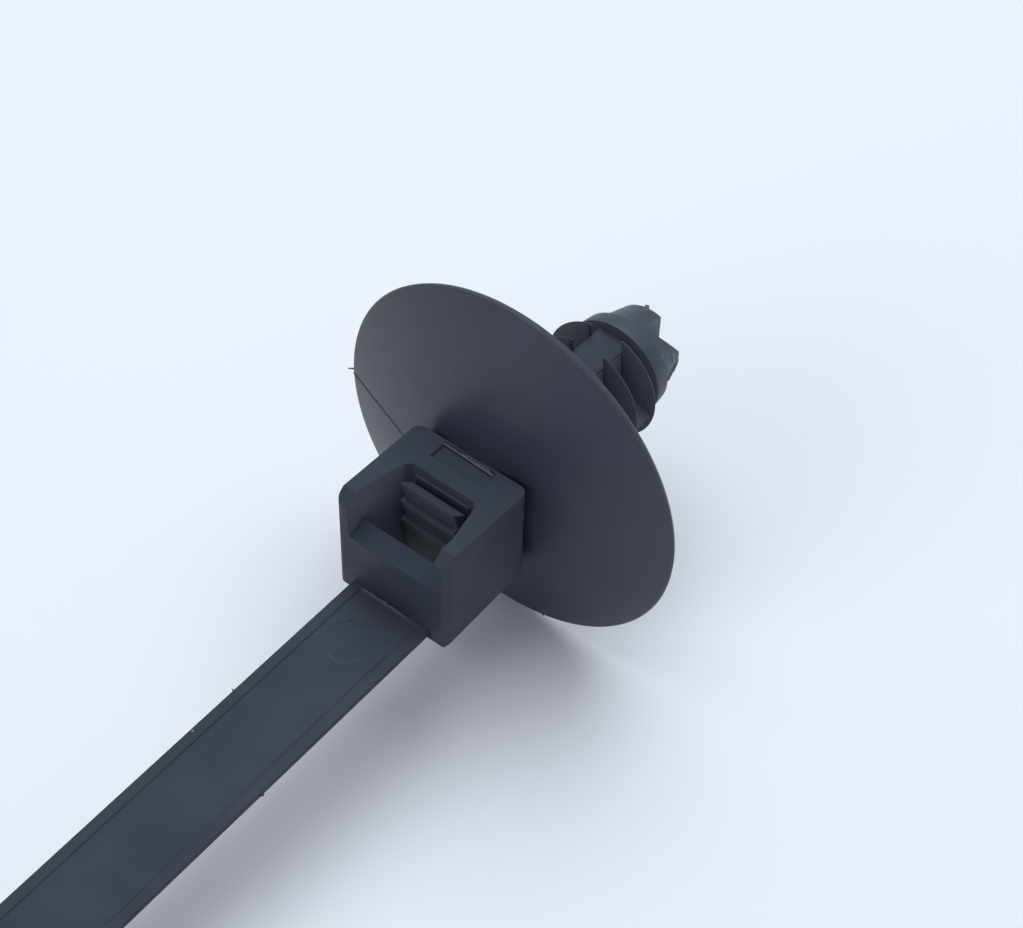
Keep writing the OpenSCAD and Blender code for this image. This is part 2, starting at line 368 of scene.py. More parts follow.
def finish_piece(piece, smooth_angle=50):
    """Keeps flat faces flat beside their rounds, brings a piece to metres and hands it to the frame."""
    piece.data.transform(Matrix.Scale(MM, 4))
    piece.data.polygons.foreach_set("use_smooth", [True] * len(piece.data.polygons))
    piece.data.set_sharp_from_angle(angle=math.radians(smooth_angle))
    step = piece.modifiers.new("flat_faces", "WEIGHTED_NORMAL")
    step.mode = "FACE_AREA"
    step.weight = 100
    step.keep_sharp = True
    freeze(piece)
    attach(piece, BODY)
    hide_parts(NODE)
    return piece


# Shader groups and materials

def shader_group(name, inputs, outputs):
    """Starts a shader node group with named sockets and returns its tree and ends."""
    tree = bpy.data.node_groups.new(name, "ShaderNodeTree")
    for label, kind, value in inputs:
        socket = tree.interface.new_socket(label, in_out="INPUT", socket_type=kind)
        if value is not None:
            socket.default_value = value
    for label, kind in outputs:
        tree.interface.new_socket(label, in_out="OUTPUT", socket_type=kind)
    return tree, tree.nodes.new("NodeGroupInput"), tree.nodes.new("NodeGroupOutput")


def math_node(tree, operation, first, second=None, third=None):
    """Adds a math node fed by sockets or numbers and returns its result."""
    node = tree.nodes.new("ShaderNodeMath")
    node.operation = operation
    for socket, value in zip(node.inputs, (first, second, third)):
        if isinstance(value, (int, float)):
            socket.default_value = value
        elif value is not None:
            tree.links.new(value, socket)
    return node.outputs[0]


def noise_node(tree, vector, scale, detail, roughness=0.5):
    """Adds a noise texture and returns its value."""
    node = tree.nodes.new("ShaderNodeTexNoise")
    tree.links.new(vector, node.inputs["Vector"])
    if isinstance(scale, (int, float)):
        node.inputs["Scale"].default_value = scale
    else:
        tree.links.new(scale, node.inputs["Scale"])
    node.inputs["Detail"].default_value = detail
    node.inputs["Roughness"].default_value = roughness
    return node.outputs["Fac"]


def remap(tree, value, low, high, out_low=0.0, out_high=1.0):
    """Spreads a value over another range, clamped."""
    node = tree.nodes.new("ShaderNodeMapRange")
    tree.links.new(value, node.inputs["Value"])
    labels = ("From Min", "From Max", "To Min", "To Max")
    for label, number in zip(labels, (low, high, out_low, out_high)):
        node.inputs[label].default_value = number
    return node.outputs["Result"]


def mould_grain_group():
    """Cloudy flow marks and the fine grain of a moulded face."""
    tree, start, end = shader_group(
        "mould_grain",
        [
            ("Vector", "NodeSocketVector", None),
            ("Cloud Scale", "NodeSocketFloat", 260.0),
            ("Grain Scale", "NodeSocketFloat", 9000.0),
        ],
        [("Cloud", "NodeSocketFloat"), ("Grain", "NodeSocketFloat"), ("Height", "NodeSocketFloat")],
    )
    vector = start.outputs["Vector"]
    cloud = noise_node(tree, vector, start.outputs["Cloud Scale"], detail=4.0, roughness=0.55)
    grain = noise_node(tree, vector, start.outputs["Grain Scale"], detail=3.0, roughness=0.6)
    height = math_node(tree, "MULTIPLY_ADD", cloud, CLOUD_RELIEF, grain)
    tree.links.new(cloud, end.inputs["Cloud"])
    tree.links.new(grain, end.inputs["Grain"])
    tree.links.new(height, end.inputs["Height"])
    return tree


def dust_group():
    """Sparse pale specks of dust and nicks."""
    tree, start, end = shader_group(
        "dust_specks",
        [
            ("Vector", "NodeSocketVector", None),
            ("Scale", "NodeSocketFloat", 800.0),
            ("Share", "NodeSocketFloat", 0.06),
        ],
        [("Mask", "NodeSocketFloat")],
    )
    cells = tree.nodes.new("ShaderNodeTexVoronoi")
    tree.links.new(start.outputs["Vector"], cells.inputs["Vector"])
    tree.links.new(start.outputs["Scale"], cells.inputs["Scale"])
    chance = tree.nodes.new("ShaderNodeSeparateColor")
    tree.links.new(cells.outputs["Color"], chance.inputs["Color"])
    chosen = math_node(tree, "LESS_THAN", chance.outputs["Red"], start.outputs["Share"])
    spot = remap(tree, cells.outputs["Distance"], 0.03, 0.07, out_low=1.0, out_high=0.0)
    tree.links.new(math_node(tree, "MULTIPLY", chosen, spot), end.inputs["Mask"])
    return tree


def scuff_group():
    """Fine scratches that run along the strap."""
    tree, start, end = shader_group(
        "scuffs",
        [
            ("Vector", "NodeSocketVector", None),
            ("Scale", "NodeSocketFloat", 1500.0),
        ],
        [("Mask", "NodeSocketFloat")],
    )
    stretch = tree.nodes.new("ShaderNodeMapping")
    stretch.inputs["Scale"].default_value = (0.1, 1.0, 1.0)
    tree.links.new(start.outputs["Vector"], stretch.inputs["Vector"])
    streak = noise_node(tree, stretch.outputs["Vector"], start.outputs["Scale"], detail=2.0, roughness=0.7)
    patch = noise_node(tree, start.outputs["Vector"], scale=180.0, detail=2.0)
    fine = remap(tree, streak, 0.6, 0.74)
    local = remap(tree, patch, 0.5, 0.66)
    tree.links.new(math_node(tree, "MULTIPLY", fine, local), end.inputs["Mask"])
    return tree


def use_group(tree, group, vector, **values):
    """Places a shader group in a material with its own values."""
    node = tree.nodes.new("ShaderNodeGroup")
    node.node_tree = group
    tree.links.new(vector, node.inputs["Vector"])
    for label, value in values.items():
        node.inputs[label.replace("_", " ")].default_value = value
    return node


def colour_mix(tree, factor, first, second):
    """Mixes two colours; each is a socket or a plain colour."""
    node = tree.nodes.new("ShaderNodeMix")
    node.data_type = "RGBA"
    tree.links.new(factor, node.inputs["Factor"])
    # A mix node's colour sockets share their labels with its number sockets, so they go by place
    first_place, second_place, result_place = 6, 7, 2
    for place, value in ((first_place, first), (second_place, second)):
        if isinstance(value, tuple):
            node.inputs[place].default_value = (*value, 1.0)
        else:
            tree.links.new(value, node.inputs[place])
    return node.outputs[result_place]


def moulded_nylon(name, dark, light, rough=(0.5, 0.62), bump=0.25, sheen=SHEEN):
    """Black nylon as moulded: cloudy colour, fine grain, scuffs and dust."""
    material = bpy.data.materials.new(name)
    material.use_nodes = True
    tree = material.node_tree
    shader = tree.nodes["Principled BSDF"]
    place = tree.nodes.new("ShaderNodeTexCoord").outputs["Object"]
    grain = use_group(tree, grain_group, place)
    dust = use_group(tree, specks_group, place)
    scuff = use_group(tree, scratch_group, place)
    cloud = remap(tree, grain.outputs["Cloud"], 0.3, 0.7)
    colour = colour_mix(tree, cloud, dark, light)
    marks = math_node(tree, "MULTIPLY", scuff.outputs["Mask"], SCUFF_SHARE)
    colour = colour_mix(tree, marks, colour, PALE_DUST)
    colour = colour_mix(tree, dust.outputs["Mask"], colour, PALE_DUST)
    tree.links.new(colour, shader.inputs["Base Color"])
    shader.inputs["Specular IOR Level"].default_value = sheen
    roughness = remap(tree, grain.outputs["Grain"], 0.3, 0.7, *rough)
    tree.links.new(roughness, shader.inputs["Roughness"])
    relief = tree.nodes.new("ShaderNodeBump")
    relief.inputs["Strength"].default_value = bump
    relief.inputs["Distance"].default_value = GRAIN_DEPTH * MM
    tree.links.new(grain.outputs["Height"], relief.inputs["Height"])
    tree.links.new(relief.outputs["Normal"], shader.inputs["Normal"])
    return material


# Geometry Nodes

def repeat_tree():
    """Tree that repeats a moulded shape in a row, on one or more sides of the stem."""
    tree = bpy.data.node_groups.new("moulded_row", "GeometryNodeTree")
    sockets = tree.interface
    sockets.new_socket("Shape", in_out="INPUT", socket_type="NodeSocketGeometry")
    for label, kind in (
        ("Count", "NodeSocketInt"),
        ("First", "NodeSocketVector"),
        ("Pitch", "NodeSocketVector"),
        ("Sides", "NodeSocketInt"),
        ("Sway", "NodeSocketVector"),
        ("Seed", "NodeSocketInt"),
        ("Finish", "NodeSocketMaterial"),
        ("Back Finish", "NodeSocketMaterial"),
        ("Edge Finish", "NodeSocketMaterial"),
    ):
        sockets.new_socket(label, in_out="INPUT", socket_type=kind)
    sockets.new_socket("Row", in_out="OUTPUT", socket_type="NodeSocketGeometry")
    nodes, link = tree.nodes, tree.links.new
    start = nodes.new("NodeGroupInput").outputs
    end = nodes.new("NodeGroupOutput")

    sides = nodes.new("GeometryNodeMeshLine")
    sides.inputs["Offset"].default_value = (0, 0, 0)
    link(start["Sides"], sides.inputs["Count"])
    half_turn = nodes.new("ShaderNodeMath")
    half_turn.operation = "MULTIPLY"
    half_turn.inputs[1].default_value = math.pi
    link(nodes.new("GeometryNodeInputIndex").outputs[0], half_turn.inputs[0])
    about_stem = nodes.new("ShaderNodeCombineXYZ")
    link(half_turn.outputs[0], about_stem.inputs["X"])
    side_turn = nodes.new("FunctionNodeEulerToRotation")
    link(about_stem.outputs[0], side_turn.inputs[0])
    on_sides = nodes.new("GeometryNodeInstanceOnPoints")
    link(sides.outputs["Mesh"], on_sides.inputs["Points"])
    link(start["Shape"], on_sides.inputs["Instance"])
    link(side_turn.outputs[0], on_sides.inputs["Rotation"])

    row = nodes.new("GeometryNodeMeshLine")
    link(start["Count"], row.inputs["Count"])
    link(start["First"], row.inputs["Start Location"])
    link(start["Pitch"], row.inputs["Offset"])
    opposite = nodes.new("ShaderNodeVectorMath")
    opposite.operation = "SCALE"
    opposite.inputs["Scale"].default_value = -1.0
    link(start["Sway"], opposite.inputs[0])
    sway = nodes.new("FunctionNodeRandomValue")
    sway.data_type = "FLOAT_VECTOR"
    link(opposite.outputs[0], sway.inputs[0])
    link(start["Sway"], sway.inputs[1])
    link(start["Seed"], sway.inputs["Seed"])
    tilt = nodes.new("FunctionNodeEulerToRotation")
    link(sway.outputs[0], tilt.inputs[0])
    on_row = nodes.new("GeometryNodeInstanceOnPoints")
    link(row.outputs["Mesh"], on_row.inputs["Points"])
    link(on_sides.outputs["Instances"], on_row.inputs["Instance"])
    link(tilt.outputs[0], on_row.inputs["Rotation"])

    real = nodes.new("GeometryNodeRealizeInstances")
    link(on_row.outputs["Instances"], real.inputs[0])
    all_faces = nodes.new("GeometryNodeSetMaterial")
    link(real.outputs[0], all_faces.inputs["Geometry"])
    link(start["Finish"], all_faces.inputs["Material"])
    painted = all_faces.outputs["Geometry"]
    for label, mark in (("Back Finish", "back_face"), ("Edge Finish", "worn_edge")):
        marked = nodes.new("GeometryNodeInputNamedAttribute")
        marked.data_type = "BOOLEAN"
        marked.inputs["Name"].default_value = mark
        paint = nodes.new("GeometryNodeSetMaterial")
        link(painted, paint.inputs["Geometry"])
        link(marked.outputs["Attribute"], paint.inputs["Selection"])
        link(start[label], paint.inputs["Material"])
        painted = paint.outputs["Geometry"]
    link(painted, end.inputs["Row"])
    return tree


def mark_faces(piece):
    """Stores which faces are edge rounds and which face back to the head, for the row's finishes: the
    rounds take a paler colour, partly wear and partly painted highlight, and the back faces, in shade, a
    pale painted light.
    """
    faces = piece.data.polygons
    edge_rounds = [face.material_index == 1 for face in faces]
    back = [face.normal.x < -0.5 for face in faces]
    for label, flags in (("worn_edge", edge_rounds), ("back_face", back)):
        layer = piece.data.attributes.new(label, "BOOLEAN", "FACE")
        layer.data.foreach_set("value", flags)
    return piece


def repeat(piece, tree, **values):
    """Runs the row tree on a piece and keeps its plain mesh."""
    step = piece.modifiers.new("row", "NODES")
    step.node_group = tree
    for socket in tree.interface.items_tree:
        label = socket.name.lower().replace(" ", "_")
        if socket.in_out == "INPUT" and label in values:
            step[socket.identifier] = values[label]
    return freeze(piece)


# Pieces

def make_disc():
    """Thin cone with a rounded rim, carrying the head on its convex side."""
    slope = DISC_RISE / DISC_R
    outline = [
        (0.0, -DISC_RISE),
        (DISC_R - DISC_RIM_T / 4, -DISC_RIM_T / 4 * slope),
        (DISC_R, DISC_RIM_T / 3),
        (DISC_R - DISC_RIM_T / 3, DISC_RIM_T),
        (0.0, DISC_MID_T - DISC_RISE),
    ]
    profile = round_corners(outline, [0.0, RIM_ROUND, RIM_ROUND, RIM_FRONT_ROUND, 0.0], steps=4)
    piece = revolve("disc", profile, DISC_SIDES)
    piece.data.materials.append(disc_nylon)
    # The rim's outer band gets the paler edge colour: partly wear, partly painted highlight.
    paint_faces(piece, worn_edge, lambda face: math.hypot(face.center.y, face.center.z) > DISC_R - RIM_WEAR_AND_HIGHLIGHT)
    return finish_piece(piece)


def make_stem():
    """Flat stem with soft edges, and the boss that joins it to the disc."""
    stem = box(
        "stem",
        (STEM_BACK_X, -STEM_HALF_W, -STEM_HALF_H),
        (STEM_FRONT_X, STEM_HALF_W, STEM_HALF_H),
    )
    soften_edges(stem, STEM_ROUND, edge=nylon)
    # The flanks between the fins sit in shade and get the pale colour as painted light.
    paint_faces(stem, fin_nylon, lambda face: abs(face.normal.y) > 0.9)
    boss_root_x = -DISC_RISE + DISC_MID_T / 2
    outline = [
        (0.0, boss_root_x),
        (BOSS_R, boss_root_x + BOSS_R * DISC_RISE / DISC_R),
        (BOSS_R, BOSS_END),
        (0.0, BOSS_END),
    ]
    boss = revolve("boss", round_corners(outline, [0, 0, BOSS_ROUND, 0]), ROUND_SIDES)
    boss.data.materials.append(nylon)
    return [finish_piece(stem), finish_piece(boss)]


def fin_blade():
    """One fin on the +Y side: a swept cone cut off along the stem's flank."""
    inner_y = STEM_HALF_W
    reach = math.acos(inner_y / FIN_R)
    steps = 40
    axis_front_x = FIN_SWEEP + FIN_ROOT_T
    rim_front_r = FIN_R - FIN_RIM_FALL
    bm = bmesh.new()
    loops = []
    for k in range(steps + 1):
        angle = -reach + 2 * reach * k / steps
        root_r = min(inner_y / math.cos(angle), rim_front_r - FIN_LEAST_DEPTH)
        section = [
            (root_r, FIN_SWEEP * (1 - root_r / FIN_R)),
            (FIN_R, 0.0),
            (rim_front_r, FIN_RIM_T),
            (root_r, axis_front_x + (FIN_RIM_T - axis_front_x) * root_r / rim_front_r),
        ]
        loops.append([bm.verts.new((x, r * math.cos(angle), r * math.sin(angle))) for r, x in section])
    for near, far in zip(loops, loops[1:]):
        for i in range(4):
            j = (i + 1) % 4
            bm.faces.new((near[i], near[j], far[j], far[i]))
    bm.faces.new(loops[0])
    bm.faces.new(loops[-1][::-1])
    return new_piece("fins", bm)


def make_fins(tree):
    """Both rows of fins, each fin a little off true as moulded ones are."""
    fins = fin_blade()
    soften_edges(fins, FIN_ROUND, segments=2, angle=40)
    mark_faces(fins)
    repeat(
        fins,
        tree,
        count=FIN_PAIRS,
        first=(FIN_FIRST, 0.0, 0.0),
        pitch=(FIN_PITCH, 0.0, 0.0),
        sides=2,
        sway=(0.0, FIN_SWAY, FIN_SWAY),
        seed=4,
        finish=nylon,
        # The fins' back faces sit in the disc's shade; their pale colour is painted light. The rims get the
        # flash colour, partly a painted highlight.
        back_finish=fin_nylon,
        edge_finish=flash,
    )
    return finish_piece(fins)


def shaded_on_nose(face):
    """Whether a face of the nose is the collar's back or an upright wall of the tip's blade."""
    back = face.normal.x < -0.7
    blade = abs(face.normal.y) > 0.95 and abs(face.center.y) < TIP_BLADE_HALF_W + 0.05
    return back or blade


def make_nose():
    """Collar and cone that enter the hole first, with a lead-in cut in two opposite quarters."""
    outline = [
        (0.0, COLLAR_X),
        (COLLAR_R, COLLAR_X),
        (COLLAR_FRONT_R, CONE_X),
        (CONE_R, CONE_X),
        (TIP_R, TIP_X),
        (0.0, TIP_X),
    ]
    nose = revolve("nose", round_corners(outline, [0, 0, 0, 0, TIP_ROUND, 0]), ROUND_SIDES)
    top_z = COLLAR_R + CUT_MARGIN
    start_r = TIP_R + (CONE_R - TIP_R) * TIP_CUT_LEN / (TIP_X - CONE_X)
    start_z = math.sqrt(start_r**2 - TIP_BLADE_HALF_W**2)
    reach = TIP_CUT_LEN * (top_z - TIP_CUT_END_Z) / (start_z - TIP_CUT_END_Z)
    wedge = [
        (TIP_X - reach, top_z),
        (TIP_X, TIP_CUT_END_Z),
        (TIP_X + CUT_MARGIN, TIP_CUT_END_Z),
        (TIP_X + CUT_MARGIN, top_z),
    ]
    for turn in (0.0, math.pi):
        cutter = prism("lead_in", wedge, "y", -TIP_BLADE_HALF_W - COLLAR_R, -TIP_BLADE_HALF_W)
        cutter.data.transform(Matrix.Rotation(turn, 4, "X"))
        combine(nose, cutter, "DIFFERENCE")
    clean_flats(nose)
    # The nose's lighter colour, on its rounds too, is painted light.
    soften_edges(nose, NOSE_ROUND, angle=24, finish=nose_nylon, edge=nose_nylon)
    # The collar's back and the blade's walls sit in shade and get the pale colour as painted light.
    paint_faces(nose, fin_nylon, shaded_on_nose)
    return finish_piece(nose)


def sole_z(x):
    """Height of the head's sloping underside."""
    return HEAD_BOTTOM + SOLE_RISE * (x - HEAD_FRONT_X) / HEAD_LEN


def head_block():
    """Outside of the head: round upright corners, sloping sole, slanted front tops."""
    margin = CUT_MARGIN
    plan = [
        (HEAD_BACK_X, -HEAD_HALF_W),
        (HEAD_BACK_X, HEAD_HALF_W),
        (HEAD_FRONT_X, HEAD_HALF_W),
        (HEAD_FRONT_X, -HEAD_HALF_W),
    ]
    plan = round_corners(plan, [BACK_CORNER_R, BACK_CORNER_R, FRONT_CORNER_R, FRONT_CORNER_R], steps=8)
    block = prism("head", plan, "z", HEAD_BOTTOM - margin, HEAD_TOP + margin)
    sole_front_x = HEAD_FRONT_X + SOLE_FRONT_CHAMFER
    sole_back_x = HEAD_BACK_X + margin
    side = [
        (HEAD_FRONT_X, HEAD_BOTTOM + SOLE_FRONT_CHAMFER),
        (sole_front_x, sole_z(sole_front_x)),
        (sole_back_x, sole_z(sole_back_x)),
        (sole_back_x, HEAD_TOP),
        (HEAD_FRONT_X + FRONT_TOP_RUN, HEAD_TOP),
        (HEAD_FRONT_X, HEAD_TOP - FRONT_TOP_DROP),
    ]
    profile = prism("head_profile", side, "y", -HEAD_HALF_W - margin, HEAD_HALF_W + margin)
    combine(block, profile, "INTERSECT")
    lean = -math.atan(SOLE_RISE / HEAD_LEN)
    tilt = Matrix.Translation((HEAD_FRONT_X, 0, HEAD_BOTTOM)) @ Matrix.Rotation(lean, 4, "Y")
    for hand in (-1, 1):
        inner = hand * (HEAD_HALF_W - SOLE_CHAMFER - margin)
        outer = hand * (HEAD_HALF_W + margin)
        wedge = [(inner, -margin), (outer, SOLE_CHAMFER + margin), (outer, -margin)]
        cutter = prism("sole_chamfer", wedge, "x", -margin, HEAD_LEN + margin)
        cutter.data.transform(tilt)
        combine(block, cutter, "DIFFERENCE")
    return block


def flare_top(piece, flare):
    """Widens a cutter towards its top and lifts it clear, so that its cut has soft sloping sides."""
    corners = [corner.co.copy() for corner in piece.data.vertices]
    top, bottom = max(c.z for c in corners), min(c.z for c in corners)
    middle = sum(corners, Vector()) / len(corners)
    reach_x = max(abs(c.x - middle.x) for c in corners)
    reach_y = max(abs(c.y - middle.y) for c in corners)
    for corner in piece.data.vertices:
        if corner.co.z == top:
            corner.co.x += 2 * flare * (corner.co.x - middle.x) / reach_x
            corner.co.y += 2 * flare * (corner.co.y - middle.y) / reach_y
            corner.co.z += top - bottom
    return piece


def in_slot(face):
    """Whether a face of the head is one of the slot's upright walls."""
    across = abs(face.center.y) < SLOT_HALF_W + 0.01
    along = HEAD_FRONT_X + 0.1 < face.center.x < CAVITY_BACK_X + 0.01
    return across and along and abs(face.normal.z) < 0.3


def behind_pawl(face):
    """Whether a face of the head is the slot's wall behind the pawl or one of that wall's corners."""
    return in_slot(face) and face.normal.x < -0.6


def on_lip(face):
    """Whether a face of the head is the low front wall's sloping top."""
    across = abs(face.center.y) < SLOT_HALF_W
    low = LIP_INNER_Z - LIP_FALL - 0.1 < face.center.z < LIP_INNER_Z + 0.1
    return across and low and face.center.x < CAVITY_FRONT_X + 0.1 and face.normal.z > 0.5


def make_head():
    """Ratchet head: walls round the slot, low on the strap's side, with a recess on top."""
    margin = CUT_MARGIN
    head = head_block()
    taper_x = CAVITY_FRONT_X + SLOT_CORNER
    slot_plan = [
        (CAVITY_FRONT_X, -SLOT_HALF_W),
        (taper_x, -SLOT_HALF_W),
        (CAVITY_BACK_X - SLOT_CORNER, -SLOT_BACK_HALF_W),
        (CAVITY_BACK_X, SLOT_CORNER - SLOT_BACK_HALF_W),
        (CAVITY_BACK_X, SLOT_BACK_HALF_W - SLOT_CORNER),
        (CAVITY_BACK_X - SLOT_CORNER, SLOT_BACK_HALF_W),
        (taper_x, SLOT_HALF_W),
        (CAVITY_FRONT_X, SLOT_HALF_W),
    ]
    combine(head, prism("slot", slot_plan, "z", HEAD_BOTTOM - margin, HEAD_TOP + margin), "DIFFERENCE")
    low_wall = [
        (HEAD_FRONT_X - margin, LIP_INNER_Z - LIP_FALL),
        (HEAD_FRONT_X, LIP_INNER_Z - LIP_FALL),
        (CAVITY_FRONT_X, LIP_INNER_Z),
        (taper_x, LIP_INNER_Z),
        (taper_x, HEAD_TOP + margin),
        (HEAD_FRONT_X - margin, HEAD_TOP + margin),
    ]
    combine(head, prism("low_wall", low_wall, "y", -SLOT_HALF_W, SLOT_HALF_W), "DIFFERENCE")
    clean_flats(head)
    soften_edges(head, HEAD_ROUND, edge=nylon)
    recess = box(
        "recess",
        (RECESS_FRONT_X, -RECESS_HALF_W, HEAD_TOP - RECESS_DEPTH),
        (RECESS_BACK_X, RECESS_HALF_W, HEAD_TOP),
    )
    flare_top(recess, RECESS_FLARE)
    combine(head, recess, "DIFFERENCE")
    # The slot's walls sit deep in shade; their paler colour is painted light.
    paint_faces(head, slot_nylon, in_slot)
    # The wall behind the pawl gets the pawl's lighter colour, painted light as well.
    paint_faces(head, pawl_nylon, behind_pawl)
    paint_faces(head, matt_nylon, on_lip)
    return finish_piece(head)


def make_pawl():
    """Toothed tongue that locks the tail, and the ledge behind its free end."""
    relief_z = PAWL_ROOT_Z - PAWL_RELIEF
    outline = [
        (PAWL_SEAT_X, sole_z(PAWL_SEAT_X)),
        (PAWL_SEAT_X, relief_z),
        (LEDGE_X, relief_z),
        (PAWL_BACK_X, PAWL_ROOT_Z),
        (PAWL_BACK_X, PAWL_TOP_Z - PAWL_BEVEL),
        (PAWL_TOOTH_X, PAWL_TOP_Z),
    ]
    for i in range(1, PAWL_TEETH + 1):
        z = PAWL_TOP_Z - i * TOOTH_PITCH
        outline.append((PAWL_FACE_X, z))
        if i < PAWL_TEETH:
            outline.append((PAWL_TOOTH_X, z))
    outline.append((PAWL_FACE_X, sole_z(PAWL_FACE_X)))
    pawl = prism("pawl", outline, "y", -PAWL_HALF_W, PAWL_HALF_W)
    # The pawl's lighter colour is painted light for its place in the slot's shade.
    soften_edges(pawl, PAWL_ROUND, segments=2, finish=pawl_nylon)
    ledge = box("pawl_ledge", (LEDGE_X, -PAWL_HALF_W, relief_z), (PAWL_SEAT_X, PAWL_HALF_W, LEDGE_TOP_Z))
    soften_edges(ledge, LEDGE_ROUND, segments=2, finish=pawl_nylon)
    return [finish_piece(pawl), finish_piece(ledge)]


def strap_place():
    """Where the strap leaves the head, drooping until its tip lies on the table."""
    return (
        Matrix.Translation((HEAD_FRONT_X, 0, STRAP_UNDER_Z))
        @ Matrix.Rotation(-STRAP_DROOP, 4, "Y")
        @ Matrix.Translation((0, 0, STRAP_T))
    )


def ejector_cutter():
    """Cutter for the ejector pin's round mark, deeper on one side, as the pin stood askew."""
    angles = [2 * math.pi * k / EJECTOR_SIDES for k in range(EJECTOR_SIDES)]
    mark_r = EJECTOR_R - EJECTOR_FLARE
    ring = [(-EJECTOR_AT + mark_r * math.cos(a), EJECTOR_OFF + mark_r * math.sin(a)) for a in angles]
    mark = prism("ejector_mark", ring, "z", -CHANNEL_DEPTH - EJECTOR_DEPTH, -CHANNEL_DEPTH)
    for corner in mark.data.vertices:
        if corner.co.z < -CHANNEL_DEPTH - EJECTOR_DEPTH / 2:
            ahead, aside = corner.co.x + EJECTOR_AT, corner.co.y - EJECTOR_OFF
            along = ahead * math.cos(EJECTOR_LEAN) + aside * math.sin(EJECTOR_LEAN)
            corner.co.z += EJECTOR_TILT * EJECTOR_DEPTH * (1 - along / mark_r)
    return flare_top(mark, EJECTOR_FLARE)


def make_strap():
    """Strap with its edge rails, smooth channel with an ejector mark, tooth trough and thin tail."""
    margin = CUT_MARGIN
    section = [
        (-STRAP_HALF_W, 0.0),
        (STRAP_HALF_W, 0.0),
        (STRAP_HALF_W, -STRAP_EDGE_H),
        (STRAP_UNDER_HALF_W, -STRAP_T),
        (-STRAP_UNDER_HALF_W, -STRAP_T),
        (-STRAP_HALF_W, -STRAP_EDGE_H),
    ]
    strap = prism("strap", section, "x", -STRAP_LEN, STRAP_ROOT)
    plan = [
        (margin, STRAP_HALF_W + margin),
        (-TAIL_START, STRAP_HALF_W),
        (-STRAP_LEN, TAIL_TIP_HALF_W),
        (-STRAP_LEN, -TAIL_TIP_HALF_W),
        (-TAIL_START, -STRAP_HALF_W),
        (margin, -STRAP_HALF_W - margin),
    ]
    combine(strap, prism("tail_plan", plan, "z", -STRAP_T - margin, margin), "INTERSECT")
    thin_z = TAIL_TIP_T - STRAP_T
    tail = [
        (-TEETH_END - TOOTH_PITCH, 0.0),
        (-TEETH_END - TOOTH_PITCH, margin),
        (-STRAP_LEN - margin, margin),
        (-STRAP_LEN - margin, thin_z),
        (-STRAP_LEN, thin_z),
    ]
    combine(strap, prism("tail_cut", tail, "y", -2 * STRAP_HALF_W, 2 * STRAP_HALF_W), "DIFFERENCE")
    channel_floor_w = CHANNEL_HALF_W - CHANNEL_FLARE
    channel = box(
        "channel",
        (-TEETH_START - margin, -channel_floor_w, -CHANNEL_DEPTH),
        (-CHANNEL_START - CHANNEL_FLARE, channel_floor_w, 0.0),
    )
    combine(strap, flare_top(channel, CHANNEL_FLARE), "DIFFERENCE")
    trough = box(
        "trough",
        (-TEETH_END, -CHANNEL_HALF_W, -TOOTH_DEPTH),
        (-TEETH_START, CHANNEL_HALF_W, margin),
    )
    combine(strap, trough, "DIFFERENCE")
    clean_flats(strap)
    soften_edges(strap, STRAP_ROUND, segments=2, edge=nylon)
    combine(strap, ejector_cutter(), "DIFFERENCE")
    groove_side = [
        (-GROOVE_START, -CHANNEL_DEPTH - GROOVE_DEPTH),
        (-GROOVE_START - GROOVE_LEN, -CHANNEL_DEPTH),
        (-GROOVE_START, margin),
    ]
    groove = prism("rail_groove", groove_side, "y", GROOVE_Y - GROOVE_HALF_W, GROOVE_Y + GROOVE_HALF_W)
    combine(strap, groove, "DIFFERENCE")
    strap.data.transform(strap_place())
    return finish_piece(strap)


def make_teeth(tree):
    """The strap's sawtooth row, steep towards the head."""
    wedge = [
        (0.0, -TOOTH_CREST),
        (0.0, -TOOTH_DEPTH - TOOTH_SEAT),
        (-TOOTH_PITCH, -TOOTH_DEPTH - TOOTH_SEAT),
        (-TOOTH_PITCH, -TOOTH_DEPTH),
    ]
    half_w = CHANNEL_HALF_W + TOOTH_SEAT
    teeth = prism("strap_teeth", wedge, "y", -half_w, half_w)
    soften_edges(teeth, TOOTH_ROUND, segments=2)
    mark_faces(teeth)
    repeat(
        teeth,
        tree,
        count=TOOTH_COUNT,
        first=(-TEETH_START, 0.0, 0.0),
        pitch=(-TOOTH_PITCH, 0.0, 0.0),
        sides=1,
        sway=(0.0, 0.0, 0.0),
        seed=0,
        finish=nylon,
        back_finish=nylon,
        edge_finish=worn_edge,
    )
    teeth.data.transform(strap_place())
    return finish_piece(teeth)


def ragged_ridge(name, path, finish, width, height, seed, torn=0.55, sway=0.4):
    """Thin uneven ridge along a path of (point, sideways, outwards, share of the height)."""
    dice = random.Random(seed)
    bm = bmesh.new()
    rows = []
    for point, side, out, share in path:
        point, side, out = Vector(point), Vector(side).normalized(), Vector(out).normalized()
        rise = out * height * share * dice.uniform(1 - torn, 1.0)
        shift = side * width * dice.uniform(-sway, sway)
        foot = point - out * FLASH_SEAT
        section = (foot - side * width, point + rise + shift, foot + side * width)
        rows.append([bm.verts.new(corner) for corner in section])
    for near, far in zip(rows, rows[1:]):
        for i in range(3):
            j = (i + 1) % 3
            bm.faces.new((near[i], near[j], far[j], far[i]))
    bm.faces.new(rows[0])
    bm.faces.new(rows[-1][::-1])
    piece = new_piece(name, bm)
    piece.data.materials.append(finish)
    return finish_piece(piece, smooth_angle=60)


def swell(k, steps, power=RIDGE_SWELL):
    """Share of the height along a ridge that dies out at both ends, or stays whole at power 0."""
    return math.sin(math.pi * (k + 0.5) / (steps + 1)) ** power


